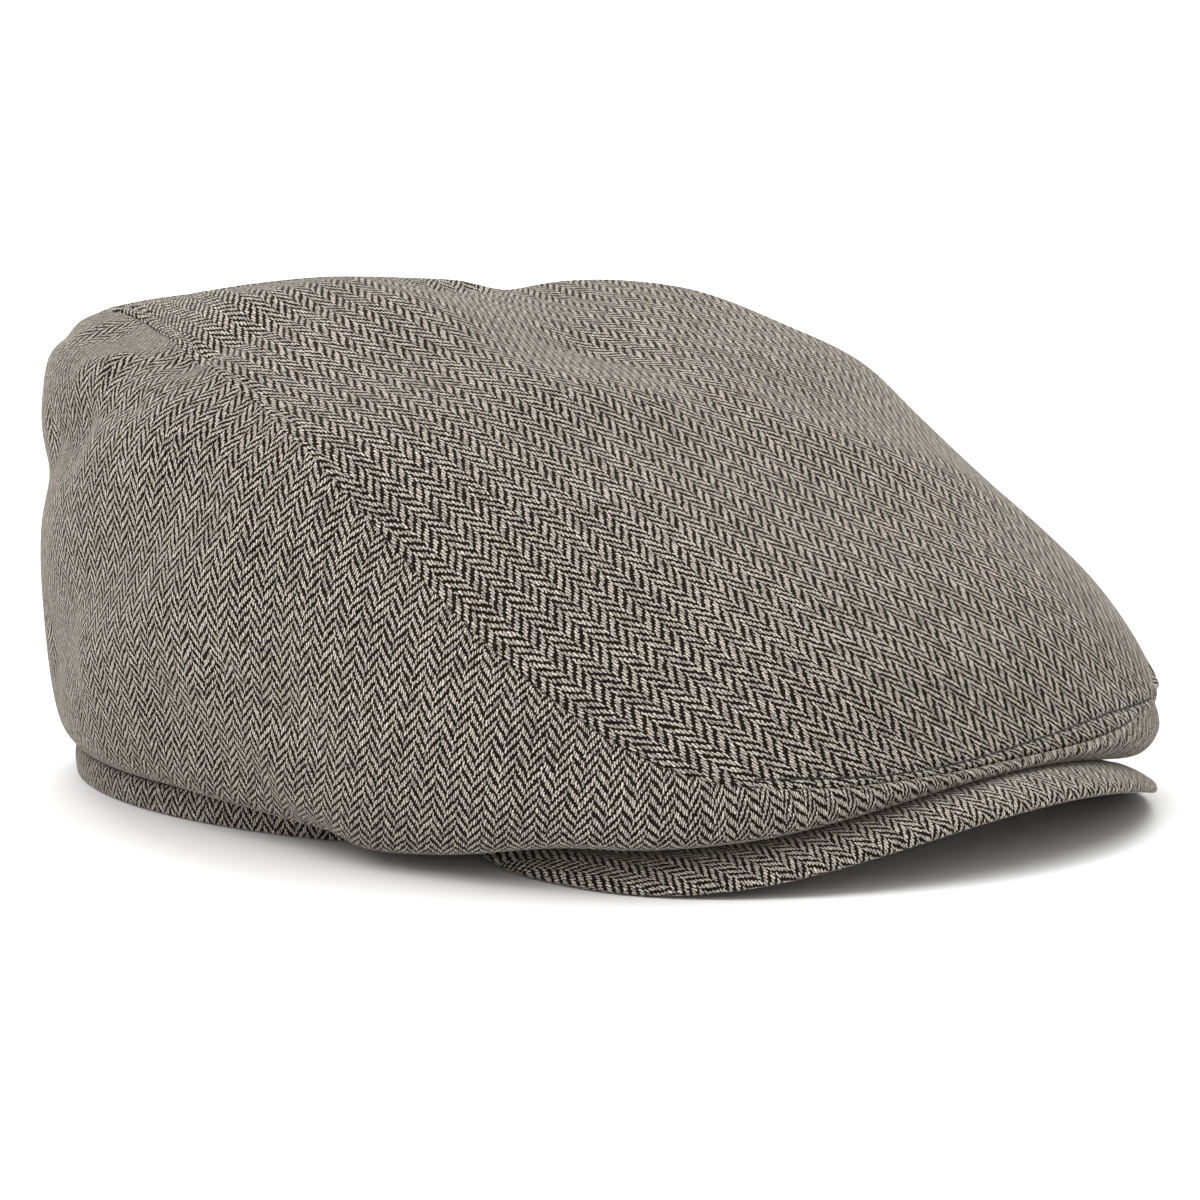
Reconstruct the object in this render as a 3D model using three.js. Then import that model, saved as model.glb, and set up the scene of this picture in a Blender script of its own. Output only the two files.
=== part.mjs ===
// A flat cap in herringbone tweed: a crown of one top panel and two side panels, an arched peak
// under its front lip, and a narrow band around the head opening. The cap stands on its band and
// on the two corners of the peak. Millimetres, +Z up, the peak points along -Y, the wearer's
// right side lies along -X. Places around the head are turns, in degrees from the centre back.
import * as THREE from "three";

// Head opening, measured on the outside of the band
const head_width = 168;
const head_length = 200;

// Crown: its outline seen from above, and its heights above the table
const crown_width = 220;
const crown_back = 102.7;
const lip_reach = 154;
const widest_forward = 45;
const side_roundness = 2.1;
const front_roundness = 2.5;
const crown_height = 104;
const front_swell = 20;
const swell_roundness = 3;
const top_wrap = 26;

// Folds in the top panel die out over this share of it at each edge
const fold_fade_share = 0.17;

// Cloth, and the space between two pieces that touch. A seam is cut no flatter than the mitre
// whose cosine this is.
const cloth = 1.5;
const seam_gap = 0.3;
const flattest_mitre_share = 0.6;

// Band around the opening
const band_height = 6.5;
const band_thickness = 2;

// Peak, and the room that the folded front edge of the crown has above it
const peak_width = 177;
const peak_reach = 164;
const peak_widest_forward = 105;
const peak_wing = 84;
const peak_thickness = 4.5;
const peak_arch = 13;
const arch_flare = 1.5;
const lip_ease = 1;

// Turns where the top panel has its corners, where the band starts to follow the arched peak and
// has fully joined it, and where the peak begins
const back_corner_turn = 29;
const front_corner_turn = 148;
const arch_start_turn = 100;
const arch_full_turn = 120;
const peak_start_turn = 125;

// How finely the cloth is divided
const side_steps = 26;
const half_steps = 10;
const height_steps = 12;
const peak_steps = 16;
const peak_rows = 4;
const round_turns = [30, 60, 80];

// One row for each section through the side of the crown, from the centre back to the centre
// front; the section stands square to the edge of the head opening. Insets are shares of
// top_wrap, measured inwards from the crown's outline. seam_up is a share of the way from the
// front lip up to crown_height, shoulder_up and belly_up are shares of the seam's height, and
// tuck_up is a share of crown_height above the table or, where over_peak is 1, above the peak.
// swell is the rise of the top panel's middle above its seams, as a share of front_swell.
const SECTIONS = [
  { turn: 0, seam_in: 0.5, seam_up: 0.985, shoulder_in: 0.05, shoulder_up: 0.87,
    belly_up: 0.5, tuck_in: 0.09, tuck_up: 0.15, over_peak: 0, swell: 0 },
  { turn: 15, seam_in: 0.48, seam_up: 0.99, shoulder_in: 0.05, shoulder_up: 0.87,
    belly_up: 0.5, tuck_in: 0.09, tuck_up: 0.15, over_peak: 0, swell: 0 },
  { turn: 29, seam_in: 0.5, seam_up: 0.995, shoulder_in: 0.06, shoulder_up: 0.87,
    belly_up: 0.5, tuck_in: 0.1, tuck_up: 0.145, over_peak: 0, swell: 0 },
  { turn: 37, seam_in: 0.74, seam_up: 1, shoulder_in: 0.1, shoulder_up: 0.88,
    belly_up: 0.48, tuck_in: 0.13, tuck_up: 0.135, over_peak: 0, swell: 0.05 },
  { turn: 48, seam_in: 0.96, seam_up: 1, shoulder_in: 0.16, shoulder_up: 0.88,
    belly_up: 0.47, tuck_in: 0.18, tuck_up: 0.125, over_peak: 0, swell: 0.08 },
  { turn: 66, seam_in: 1, seam_up: 1, shoulder_in: 0.24, shoulder_up: 0.87,
    belly_up: 0.45, tuck_in: 0.28, tuck_up: 0.11, over_peak: 0, swell: 0.13 },
  { turn: 77, seam_in: 0.88, seam_up: 1, shoulder_in: 0.24, shoulder_up: 0.86,
    belly_up: 0.43, tuck_in: 0.4, tuck_up: 0.1, over_peak: 0, swell: 0.18 },
  { turn: 87, seam_in: 0.8, seam_up: 0.975, shoulder_in: 0.22, shoulder_up: 0.84,
    belly_up: 0.42, tuck_in: 0.5, tuck_up: 0.085, over_peak: 0, swell: 0.24 },
  { turn: 98, seam_in: 0.72, seam_up: 0.895, shoulder_in: 0.2, shoulder_up: 0.81,
    belly_up: 0.41, tuck_in: 0.58, tuck_up: 0.07, over_peak: 0, swell: 0.34 },
  { turn: 107, seam_in: 0.58, seam_up: 0.8, shoulder_in: 0.17, shoulder_up: 0.79,
    belly_up: 0.41, tuck_in: 0.56, tuck_up: 0.05, over_peak: 0, swell: 0.5 },
  { turn: 115, seam_in: 0.56, seam_up: 0.655, shoulder_in: 0.16, shoulder_up: 0.78,
    belly_up: 0.42, tuck_in: 0.48, tuck_up: 0.04, over_peak: 0, swell: 0.72 },
  { turn: 124, seam_in: 0.48, seam_up: 0.47, shoulder_in: 0.14, shoulder_up: 0.76,
    belly_up: 0.44, tuck_in: 0.4, tuck_up: 0.055, over_peak: 0, swell: 0.95 },
  { turn: 135, seam_in: 0.33, seam_up: 0.24, shoulder_in: 0.1, shoulder_up: 0.78,
    belly_up: 0.5, tuck_in: 0.33, tuck_up: 0.045, over_peak: 1, swell: 1 },
  { turn: 142, seam_in: 0.2, seam_up: 0.11, shoulder_in: 0.06, shoulder_up: 0.82,
    belly_up: 0.56, tuck_in: 0.28, tuck_up: 0.045, over_peak: 1, swell: 0.72 },
  { turn: 148, seam_in: 0.13, seam_up: 0.04, shoulder_in: 0.04, shoulder_up: 0.85,
    belly_up: 0.64, tuck_in: 0.22, tuck_up: 0.04, over_peak: 1, swell: 0 },
  { turn: 155, seam_in: 0.09, seam_up: 0.01, shoulder_in: 0.03, shoulder_up: 0.9,
    belly_up: 0.75, tuck_in: 0.16, tuck_up: 0.03, over_peak: 1, swell: 0 },
  { turn: 167, seam_in: 0.09, seam_up: 0, shoulder_in: 0.02, shoulder_up: 0.955,
    belly_up: 0.9, tuck_in: 0.11, tuck_up: 0.018, over_peak: 1, swell: 0 },
  { turn: 180, seam_in: 0.095, seam_up: 0, shoulder_in: 0.02, shoulder_up: 0.965,
    belly_up: 0.92, tuck_in: 0.09, tuck_up: 0.012, over_peak: 1, swell: 0 },
];

const RIGHT = -1;
const LEFT = 1;

// Soft folds in the side panels, each a line from one place to another. up is the share of the
// way from the band to the top seam. width and depth are shares of top_wrap, and a negative
// depth is a ridge.
const SIDE_FOLDS = [
  { side: RIGHT, turn_from: 62, up_from: 0.86, turn_to: 30, up_to: 0.76, width: 0.25, depth: -0.08 },
  { side: RIGHT, turn_from: 62, up_from: 0.7, turn_to: 20, up_to: 0.5, width: 0.22, depth: 0.16 },
  { side: RIGHT, turn_from: 78, up_from: 1, turn_to: 92, up_to: 1, width: 0.4, depth: 0.1 },
  { side: LEFT, turn_from: 60, up_from: 0.85, turn_to: 60, up_to: 1, width: 0.35, depth: 0.1 },
  { side: LEFT, turn_from: 138, up_from: 1, turn_to: 150, up_to: 1, width: 0.5, depth: -0.11 },
];

// Shallow valleys in the top panel. across is a share of half crown_width to the wearer's left
// and ahead a share of lip_reach towards the front, both from the middle of the head opening.
const TOP_FOLDS = [
  { across_from: 0.6, ahead_from: -0.27, across_to: 0.14, ahead_to: 0.1, width: 0.6, depth: 0.1 },
];

const TWEED = { color: 0x7c756c, roughness: 0.95, metalness: 0 };

// A column of SECTIONS at any turn, as one smooth curve that is level at both ends.
function column(name, turn) {
  let row = 0;
  while (row < SECTIONS.length - 2 && turn > SECTIONS[row + 1].turn) row += 1;
  const low = SECTIONS[row];
  const high = SECTIONS[row + 1];
  const span = high.turn - low.turn;
  const share = (turn - low.turn) / span;
  const slopeAt = (index) => {
    if (index === 0 || index === SECTIONS.length - 1) return 0;
    const before = SECTIONS[index - 1];
    const after = SECTIONS[index + 1];
    return (after[name] - before[name]) / (after.turn - before.turn);
  };
  const bend = slopeAt(row) * span * share * (1 - share) ** 2
    - slopeAt(row + 1) * span * share ** 2 * (1 - share);
  return THREE.MathUtils.lerp(low[name], high[name], share ** 2 * (3 - 2 * share)) + bend;
}

// The outside edge of the band at a turn, and the direction that points square out of it.
function opening(side, turn) {
  const angle = THREE.MathUtils.degToRad(turn);
  const across = side * Math.sin(angle) * head_width / 2;
  const at = new THREE.Vector3(across, Math.cos(angle) * head_length / 2, 0);
  const out = new THREE.Vector3(at.x / head_width ** 2, at.y / head_length ** 2, 0).normalize();
  return { at, out };
}

// How far the crown's outline lies outside the opening at a turn, found by halving.
function crownReach(turn) {
  const { at, out } = opening(LEFT, turn);
  const halvings = 40;
  let near = 0;
  let far = lip_reach;
  for (let halving = 0; halving < halvings; halving += 1) {
    const reach = (near + far) / 2;
    const sideways = Math.abs(at.x + out.x * reach) / (crown_width / 2);
    const forward = -(at.y + out.y * reach) - widest_forward;
    const depth = forward > 0 ? lip_reach - widest_forward : crown_back + widest_forward;
    const roundness = forward > 0 ? front_roundness : side_roundness;
    const inside = sideways ** roundness + (Math.abs(forward) / depth) ** roundness < 1;
    if (inside) near = reach;
    else far = reach;
  }
  return near;
}

// The underside of the arched peak, which the front of the band follows too.
function archHeight(x) {
  const foot = (peak_width - peak_thickness) / 2;
  return peak_arch * Math.max(0, 1 - (x / foot) ** 2) ** arch_flare;
}

function bandBottom(turn) {
  const share = THREE.MathUtils.smoothstep(turn, arch_start_turn, arch_full_turn);
  return archHeight(opening(LEFT, turn).at.x) * share;
}

// One section through the side of the crown, as a smooth curve from the band to the top seam.
function section(side, turn) {
  const { at, out } = opening(side, turn);
  const reach = crownReach(turn);
  const lip = peak_arch + peak_thickness + 2 * (cloth + seam_gap) + lip_ease;
  const seam_height = THREE.MathUtils.lerp(lip, crown_height, column("seam_up", turn));
  const place = (inset, height) => {
    const point = at.clone().addScaledVector(out, reach - inset * top_wrap);
    point.z = height;
    return point;
  };
  const hem = at.clone();
  hem.z = bandBottom(turn) + band_height + seam_gap;
  const tuck = place(column("tuck_in", turn), column("tuck_up", turn) * crown_height);
  tuck.z += column("over_peak", turn) * (archHeight(tuck.x) + peak_thickness + seam_gap);
  const belly = place(0, column("belly_up", turn) * seam_height);
  const shoulder = place(column("shoulder_in", turn), column("shoulder_up", turn) * seam_height);
  const seam = place(column("seam_in", turn), seam_height);
  return new THREE.CatmullRomCurve3([hem, tuck, belly, shoulder, seam], false, "centripetal");
}

// How deep a fold presses at a place: a soft trough along a line, fading out past both ends.
function foldDepth(x, y, fold) {
  const run_x = fold.to_x - fold.from_x;
  const run_y = fold.to_y - fold.from_y;
  const square = run_x ** 2 + run_y ** 2;
  const along = ((x - fold.from_x) * run_x + (y - fold.from_y) * run_y) / square;
  const nearest = THREE.MathUtils.clamp(along, 0, 1);
  const off = Math.hypot(x - fold.from_x - run_x * nearest, y - fold.from_y - run_y * nearest);
  return fold.depth * Math.exp(-((off / fold.width) ** 2));
}

// A point of a side panel's outer face, up from the band at 0 to the top seam at 1. Folds press
// square into the section's curve; degree is the length of one degree of turn along the band.
function sidePoint(side, turn, up) {
  const curve = section(side, turn);
  const point = curve.getPoint(up);
  const tangent = curve.getTangent(up);
  const { out } = opening(side, turn);
  const square = out.clone().multiplyScalar(tangent.z).setZ(-tangent.dot(out));
  const degree = Math.PI * (head_width + head_length) / 2 / 360;
  for (const fold of SIDE_FOLDS.filter((each) => each.side === side)) {
    const press = foldDepth(turn * degree, up * crown_height, {
      from_x: fold.turn_from * degree, from_y: fold.up_from * crown_height,
      to_x: fold.turn_to * degree, to_y: fold.up_to * crown_height,
      width: fold.width * top_wrap, depth: fold.depth * top_wrap,
    });
    point.addScaledVector(square, -press);
  }
  return point;
}

// A point of the top panel's outer face, carried between the four stretches of its seam. across
// runs from the right seam at -1 to the left seam at 1, along from the back edge at 0 to the
// front lip at 1.
function topPoint(across, along) {
  const near_side = across < 0 ? RIGHT : LEFT;
  const turn = THREE.MathUtils.lerp(back_corner_turn, front_corner_turn, along);
  const back_turn = Math.abs(across) * back_corner_turn;
  const front_turn = THREE.MathUtils.lerp(180, front_corner_turn, Math.abs(across));
  const point = new THREE.Vector3()
    .addScaledVector(sidePoint(near_side, back_turn, 1), 1 - along)
    .addScaledVector(sidePoint(near_side, front_turn, 1), along);
  for (const side of [RIGHT, LEFT]) {
    const share = (1 + side * across) / 2;
    point.addScaledVector(sidePoint(side, turn, 1), share);
    point.addScaledVector(sidePoint(side, back_corner_turn, 1), -share * (1 - along));
    point.addScaledVector(sidePoint(side, front_corner_turn, 1), -share * along);
  }
  point.z += front_swell * column("swell", turn) * (1 - Math.abs(across) ** swell_roundness);
  const from_edge = Math.min((1 - Math.abs(across)) / 2, along, 1 - along);
  const edge = Math.min(1, from_edge / fold_fade_share);
  for (const fold of TOP_FOLDS) {
    point.z -= edge * foldDepth(point.x, -point.y, {
      from_x: fold.across_from * crown_width / 2, from_y: fold.ahead_from * lip_reach,
      to_x: fold.across_to * crown_width / 2, to_y: fold.ahead_to * lip_reach,
      width: fold.width * top_wrap, depth: fold.depth * top_wrap,
    });
  }
  return point;
}

// Evenly spaced values from one end to the other, both included.
function spread(from, to, steps) {
  return Array.from({ length: steps + 1 }, (_, i) => THREE.MathUtils.lerp(from, to, i / steps));
}

// The outer face of a cloth panel as a grid of points, with the directions square out of it and
// the inner face under it.
function panelOf(outer) {
  const last_row = outer.length - 1;
  const last = outer[0].length - 1;
  const normals = outer.map((line, i) => line.map((_, j) => {
    const onward = new THREE.Vector3()
      .subVectors(outer[Math.min(last_row, i + 1)][j], outer[Math.max(0, i - 1)][j]);
    const over = new THREE.Vector3()
      .subVectors(line[Math.min(last, j + 1)], line[Math.max(0, j - 1)]);
    return onward.cross(over).normalize();
  }));
  const inner = outer.map((line, i) => line.map((point, j) => (
    point.clone().addScaledVector(normals[i][j], -cloth))));
  return { outer, inner, normals };
}

// One closed body between an outer and an inner grid of points. round joins the last row to the
// first one, so that the piece goes all the way around the head.
function wall(name, { outer, inner }, round = false) {
  const rows = outer.length;
  const columns = outer[0].length;
  const positions = [...outer.flat(), ...inner.flat()].flatMap((point) => point.toArray());
  const outside = (i, j) => (i % rows) * columns + j;
  const inside = (i, j) => rows * columns + outside(i, j);
  const faces = [];
  const quad = (a, b, c, d) => faces.push(a, b, c, a, c, d);
  const last = columns - 1;
  for (let i = 0; i < (round ? rows : rows - 1); i += 1) {
    for (let j = 0; j < last; j += 1) {
      quad(outside(i, j), outside(i + 1, j), outside(i + 1, j + 1), outside(i, j + 1));
      quad(inside(i, j), inside(i, j + 1), inside(i + 1, j + 1), inside(i + 1, j));
    }
    quad(outside(i, 0), inside(i, 0), inside(i + 1, 0), outside(i + 1, 0));
    quad(outside(i, last), outside(i + 1, last), inside(i + 1, last), inside(i, last));
  }
  const end = rows - 1;
  for (let j = 0; j < last && !round; j += 1) {
    quad(outside(0, j), outside(0, j + 1), inside(0, j + 1), inside(0, j));
    quad(outside(end, j), inside(end, j), inside(end, j + 1), outside(end, j + 1));
  }
  const geometry = new THREE.BufferGeometry();
  geometry.setAttribute("position", new THREE.Float32BufferAttribute(positions, 3));
  geometry.setIndex(faces);
  geometry.computeVertexNormals();
  const mesh = new THREE.Mesh(geometry, new THREE.MeshStandardMaterial(TWEED));
  mesh.name = name;
  return mesh;
}

// The turns of the sections of one side panel, the same ones that the top panel's edge has.
const TURNS = [
  ...spread(0, back_corner_turn, half_steps).slice(0, -1),
  ...spread(back_corner_turn, front_corner_turn, side_steps).slice(0, -1),
  ...spread(front_corner_turn, 180, half_steps),
];

function topPanel() {
  const acrosses = spread(-1, 1, 2 * half_steps);
  return panelOf(spread(0, 1, side_steps).map((along) => (
    acrosses.map((across) => topPoint(across, along)))));
}

// The rows run forwards on the right side and backwards on the left, so that both face outwards.
function sidePanel(side) {
  const turns = side === RIGHT ? TURNS : TURNS.toReversed();
  const ups = spread(0, 1, height_steps);
  return panelOf(turns.map((turn) => ups.map((up) => sidePoint(side, turn, up))));
}

// The side panels stop half a gap short of each other at the centre back and the centre front.
function splitAtCentre({ outer, inner }, side) {
  for (const line of [outer[0], outer.at(-1), inner[0], inner.at(-1)]) {
    for (const point of line) point.x = side * seam_gap / 2;
  }
}

// Where a section of a side panel ends on the top panel's edge, as a row and a column.
function edgePlace(side, step) {
  const edge = side === RIGHT ? 0 : 2 * half_steps;
  if (step < half_steps) return [0, half_steps + side * step];
  if (step <= half_steps + side_steps) return [step - half_steps, edge];
  return [side_steps, half_steps + side * (TURNS.length - 1 - step)];
}

// The top and side panels end in a mitre all along their seam: both inner edges lie straight
// below the joint, and each panel stops half a gap short of it.
function mitre(top, panel, side) {
  const middle = topPoint(0, 0.5);
  const end = TURNS.length - 1;
  const seam = TURNS.map((turn) => sidePoint(side, turn, 1));
  seam.forEach((point, step) => {
    const row = side === RIGHT ? step : end - step;
    const [i, j] = edgePlace(side, step);
    const up = top.normals[i][j];
    const inwards = new THREE.Vector3().addVectors(up, panel.normals[row].at(-1)).setLength(-1);
    const depth = cloth / Math.max(-inwards.dot(up), flattest_mitre_share);
    const run = new THREE.Vector3()
      .subVectors(seam[Math.min(step + 1, end)], seam[Math.max(step - 1, 0)]);
    if (step === 0 || step === end) run.set(side, 0, 0);
    const off = new THREE.Vector3().crossVectors(run, inwards).setLength(seam_gap / 2);
    if (off.dot(middle) < off.dot(point)) off.negate();
    top.outer[i][j].copy(point).add(off);
    top.inner[i][j].copy(top.outer[i][j]).addScaledVector(inwards, depth);
    panel.outer[row].at(-1).copy(point).sub(off);
    panel.inner[row].at(-1).copy(panel.outer[row].at(-1)).addScaledVector(inwards, depth);
  });
  splitAtCentre(panel, side);
}

// A flat strip on edge that follows the opening all the way around.
function hemBand() {
  const places = [
    ...TURNS.map((turn) => [RIGHT, turn]),
    ...TURNS.slice(1, -1).toReversed().map((turn) => [LEFT, turn]),
  ];
  const strip = (inset) => places.map(([side, turn]) => {
    const { at, out } = opening(side, turn);
    const foot = at.addScaledVector(out, -inset).setZ(bandBottom(turn));
    return [foot, foot.clone().setZ(foot.z + band_height)];
  });
  return { outer: strip(0), inner: strip(band_thickness) };
}

// The peak's outline is two half ellipses that meet where it is widest. Its inner edge follows
// the band with a gap, and its outer edge is rounded over the whole thickness.
function peak() {
  const radius = peak_thickness / 2;
  const wing_back = peak_widest_forward + opening(LEFT, peak_start_turn).at.y;
  const wing_angle = Math.asin(wing_back / peak_wing);
  const stations = [
    ...spread(0, 1, peak_steps).map((share) => [RIGHT, share]),
    ...spread(1, 0, peak_steps).slice(1).map((share) => [LEFT, share]),
  ];
  const face = (lift) => stations.map(([side, share]) => {
    const { at, out } = opening(side, THREE.MathUtils.lerp(peak_start_turn, 180, share));
    const inner = at.addScaledVector(out, seam_gap);
    const angle = THREE.MathUtils.lerp(-wing_angle, Math.PI / 2, share);
    const depth = angle < 0 ? peak_wing : peak_reach - peak_widest_forward;
    const tip = new THREE.Vector3(side * Math.cos(angle) * peak_width / 2,
      -peak_widest_forward - Math.sin(angle) * depth, 0);
    const run = tip.clone().sub(inner);
    const flat = run.length() - radius;
    const line = [...spread(0, flat, peak_rows).map((reach) => [reach, 0]),
      ...round_turns.map((turn) => [flat, THREE.MathUtils.degToRad(turn)])];
    return line.map(([reach, turn]) => {
      const point = inner.clone().add(run.clone().setLength(reach + Math.sin(turn) * radius));
      point.z = archHeight(point.x) + radius + lift * Math.cos(turn) * radius;
      return point;
    });
  });
  return { outer: face(-1), inner: face(1) };
}

const top = topPanel();
const right = sidePanel(RIGHT);
const left = sidePanel(LEFT);
mitre(top, right, RIGHT);
mitre(top, left, LEFT);

const cap = new THREE.Group();
cap.add(
  wall("top_panel", top),
  wall("side_panel_right", right),
  wall("side_panel_left", left),
  wall("peak", peak()),
  wall("hem_band", hemBand(), true),
);

// The origin lies on the table under the middle of the cap.
const middle = new THREE.Box3().setFromObject(cap).getCenter(new THREE.Vector3());
cap.position.set(-middle.x, -middle.y, 0);

export default cap;
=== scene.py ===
import math

import bpy
import numpy as np
from mathutils import Matrix, Vector


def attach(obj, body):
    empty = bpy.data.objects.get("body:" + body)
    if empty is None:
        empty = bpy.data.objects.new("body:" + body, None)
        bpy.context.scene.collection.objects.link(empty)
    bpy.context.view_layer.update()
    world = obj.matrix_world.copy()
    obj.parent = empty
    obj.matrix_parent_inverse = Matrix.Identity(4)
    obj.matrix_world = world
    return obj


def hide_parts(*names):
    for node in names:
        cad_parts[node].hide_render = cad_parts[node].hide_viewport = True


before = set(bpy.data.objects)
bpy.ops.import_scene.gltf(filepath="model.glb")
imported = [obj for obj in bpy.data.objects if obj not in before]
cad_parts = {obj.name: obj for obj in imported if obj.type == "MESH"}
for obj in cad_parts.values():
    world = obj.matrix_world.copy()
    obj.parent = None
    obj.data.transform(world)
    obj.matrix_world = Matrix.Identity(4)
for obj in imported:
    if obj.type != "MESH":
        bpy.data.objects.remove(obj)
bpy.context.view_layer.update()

# The cap lies on a plain pale floor in a pale surround. Four large soft lights light it: from above
# its right side and behind, low from its right and front, from straight above, and from above its
# left side and behind. The camera looks a little down at the cap's right side and its peak.
mm = 0.001
opening_middle = Vector((0, 30.3, 0)) * mm

# the camera's turn away from the front, and its tilt downwards
view_turn = math.radians(50)
view_down = math.radians(9.5)
view_distance = 2400 * mm
view_width = 272.7 * mm
aim_right = 26.1 * mm
aim_up = 40.0 * mm
sensor_width = 36

to_right = Vector((math.cos(view_turn), -math.sin(view_turn), 0))
to_subject = Vector((math.sin(view_turn) * math.cos(view_down),
                     math.cos(view_turn) * math.cos(view_down), -math.sin(view_down)))
to_top = to_right.cross(to_subject)

camera = bpy.data.objects.new("camera", bpy.data.cameras.new("camera"))
bpy.context.scene.collection.objects.link(camera)
camera.data.sensor_width = sensor_width
camera.data.lens = sensor_width * view_distance / view_width
camera.data.clip_start = 0.1
camera.data.clip_end = 50
camera.matrix_world = Matrix.Translation(
    opening_middle + to_right * aim_right + to_top * aim_up - to_subject * view_distance
) @ Matrix((to_right, to_top, -to_subject)).transposed().to_4x4()
bpy.context.scene.camera = camera

floor_size = 12
floor_drop = 0.3 * mm
floor_mesh = bpy.data.meshes.new("floor")
floor_mesh.from_pydata([(x * floor_size, y * floor_size, -floor_drop)
                        for x, y in ((-1, -1), (1, -1), (1, 1), (-1, 1))], [], [(0, 1, 2, 3)])
floor = bpy.data.objects.new("floor", floor_mesh)
bpy.context.scene.collection.objects.link(floor)
paper = bpy.data.materials.new("white_paper")
paper.use_nodes = True
paper_shader = paper.node_tree.nodes["Principled BSDF"]
paper_shader.inputs["Base Color"].default_value = (0.9, 0.9, 0.9, 1)
paper_shader.inputs["Roughness"].default_value = 0.9
floor_mesh.materials.append(paper)


def soft_light(name, place, spread, strength):
    """A distant light that shines from a place towards the cap, spread over some degrees."""
    light = bpy.data.objects.new(name, bpy.data.lights.new(name, "SUN"))
    light.data.angle = math.radians(spread)
    light.data.energy = strength
    light.location = place
    light.rotation_euler = (-Vector(place)).to_track_quat("-Z", "Y").to_euler()
    bpy.context.scene.collection.objects.link(light)


soft_light("light_main", (-1.1, 0.5, 1.3), 40, 1.0)
soft_light("light_right", (-1.2, -0.6, 0.3), 60, 0.8)
soft_light("light_above", (0.01, 0, 1), 70, 1.6)
soft_light("light_behind", (0.76, 0.63, 1.0), 50, 1.6)

surround = bpy.data.worlds.new("surround")
surround.use_nodes = True
surround_shader = surround.node_tree.nodes["Background"]
surround_shader.inputs["Color"].default_value = (1, 1, 1, 1)
surround_shader.inputs["Strength"].default_value = 0.55
bpy.context.scene.world = surround
bpy.context.scene.view_settings.view_transform = "Standard"

# The two side panels are the walls of the crown, cut from fine herringbone wool cloth, cream
# warp on a black-brown weft. They are seamed together at the centre back and the centre front,
# rise from the band over the shoulder at the back, and end as a thin roll under the front lip.
# sizes in mm, turns in degrees from the centre back round to the centre front
head_width = 168
head_length = 200
crown_width = 220
crown_back = 102.7
lip_reach = 154
widest_forward = 45
side_roundness = 2.1
front_roundness = 2.5
crown_height = 104
front_swell = 20
swell_roundness = 3
top_wrap = 26
cloth = 1.5
seam_gap = 0.3
band_height = 6.5
band_thickness = 2
peak_width = 177
peak_thickness = 4.5
peak_arch = 13
arch_flare = 1.5
lip_ease = 1
back_corner = 29
front_corner = 148
arch_start = 100
arch_full = 120

# how the wall runs at each turn. The "in" columns are shares of top_wrap. Of the "up" ones, the
# tuck is a share of crown_height, the belly and the shoulder are shares of the seam's height, and
# the seam is a share of the way from the lip to crown_height. over_peak is how fully the tuck is
# lifted over the peak, and swell is how fully the front of the top swells.
section_columns = ("turn", "seam_in", "seam_up", "shoulder_in", "shoulder_up", "belly_up",
                   "tuck_in", "tuck_up", "over_peak", "swell")
section_rows = np.array([
    (0, .50, .985, .05, .87, .50, .09, .15, 0, 0),
    (15, .48, .99, .05, .87, .50, .09, .15, 0, 0),
    (29, .50, .995, .06, .87, .50, .10, .145, 0, 0),
    (37, .74, 1, .10, .88, .48, .13, .135, 0, .05),
    (48, .96, 1, .16, .88, .47, .18, .125, 0, .08),
    (66, 1, 1, .24, .87, .45, .28, .11, 0, .13),
    (77, .88, 1, .24, .86, .43, .40, .10, 0, .18),
    (87, .80, .975, .22, .84, .42, .50, .085, 0, .24),
    (98, .72, .895, .20, .81, .41, .58, .07, 0, .34),
    (107, .58, .80, .17, .79, .41, .56, .05, 0, .50),
    (115, .56, .655, .16, .78, .42, .48, .04, 0, .72),
    (124, .48, .47, .14, .76, .44, .40, .055, 0, .95),
    (135, .33, .24, .10, .78, .50, .33, .045, 1, 1),
    (142, .20, .11, .06, .82, .56, .28, .045, 1, .72),
    (148, .13, .04, .04, .85, .64, .22, .04, 1, 0),
    (155, .09, .01, .03, .90, .75, .16, .03, 1, 0),
    (167, .09, 0, .02, .955, .90, .11, .018, 1, 0),
    (180, .095, 0, .02, .965, .92, .09, .012, 1, 0),
])
sections = dict(zip(section_columns, section_rows.T))

# each fold: side, its path through turns and heights, half width mm, depth mm
right, left = -1, 1
side_folds = [
    (right, ((62, .86), (30, .76)), 6.5, -2.1),
    (right, ((62, .70), (20, .50)), 5.7, 2.8),
    (right, ((78, 1), (92, 1)), 10.4, 2.6),
    (left, ((60, .85), (60, 1)), 9.1, 2.6),
    (left, ((138, 1), (150, 1)), 13, -2.9),
    (right, ((31, .90), (40, .90)), 9, -2.8),
    (right, ((50, .67), (62, .71), (75, .79)), 4.5, 1.8),
    (right, ((58, .80), (66, .90), (71, .94)), 4.5, -1.2),
    (right, ((72, .95), (77, .98)), 4.5, 1.6),
    (right, ((92, .72), (84, .62), (66, .49), (50, .40)), 7, 2.6),
    (right, ((100, .64), (86, .54), (70, .44)), 7, -1.9),
    (right, ((98, .50), (105, .46)), 5, 2.2),
    (right, ((106, .24), (100, .36), (86, .40)), 6, 1.6),
    (right, ((109, .26), (110, .42), (104, .62)), 6, 1.3),
    (right, ((112, .34), (106, .36)), 9, -1.5),
]


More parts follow.
